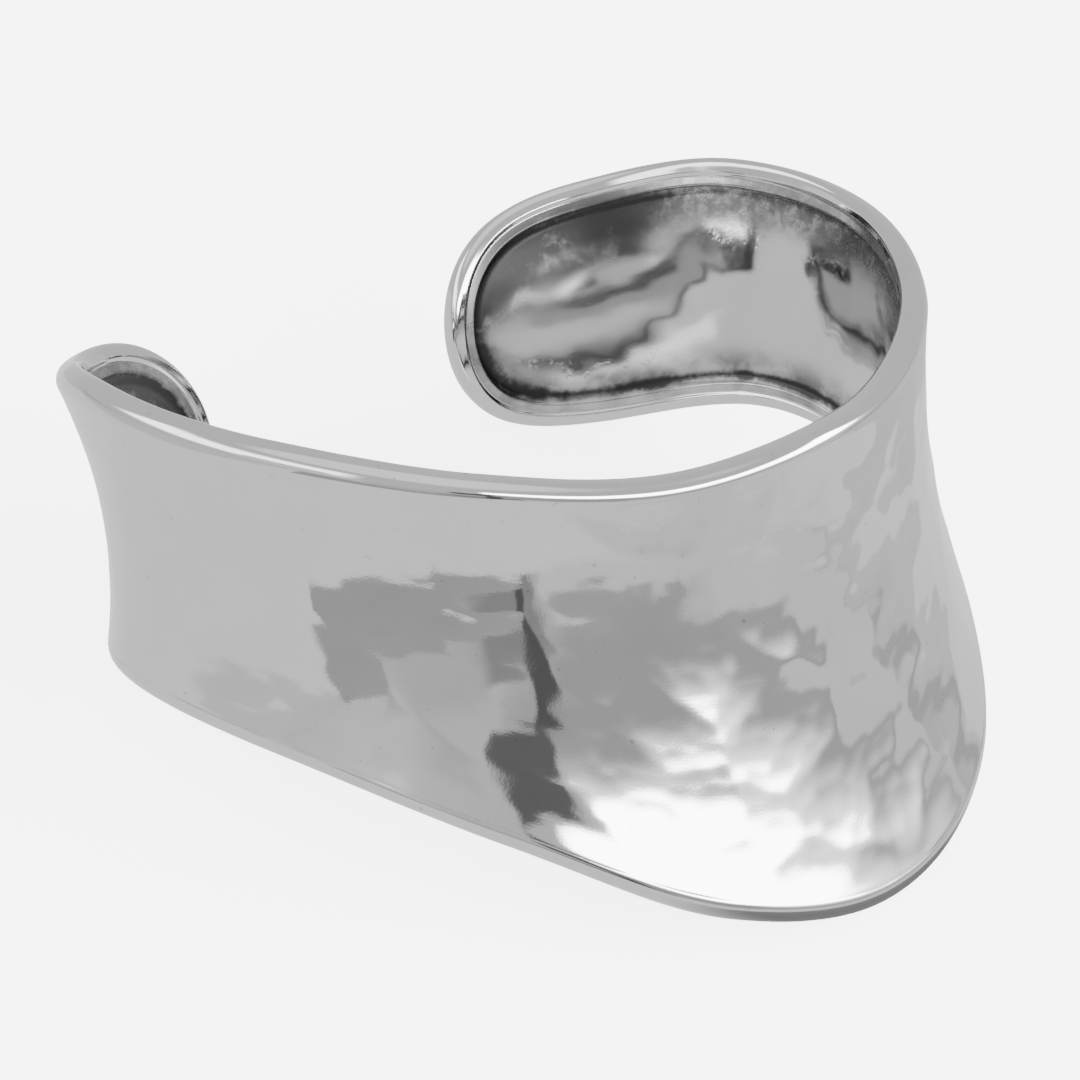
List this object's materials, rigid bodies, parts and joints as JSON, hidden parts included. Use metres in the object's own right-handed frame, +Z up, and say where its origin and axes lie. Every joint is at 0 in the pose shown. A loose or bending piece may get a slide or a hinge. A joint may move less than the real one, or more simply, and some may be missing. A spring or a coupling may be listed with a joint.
{
  "type": "cuff bracelet",
  "caption": "Open silver cuff bracelet, a hammered band with a concave outer face, a broad front lobe, rounded ends and a raised rim round a recessed lining.",
  "frame": {"origin": "centre of the bounding box on the surface that the cuff lies on", "axes": "+Z up from that surface as the cuff lies on its side, -Y towards the broad lobe, +Y towards the opening between the ends, +X to the wearer's side"},
  "size_m": [0.064, 0.0572, 0.0259],
  "materials": {
    "silver": "polished silver, softly hammered, with fine wear lines and tarnish in the inner recess"
  },
  "bodies": {
    "root": {"cuff": "silver"}
  },
  "joints": []
}
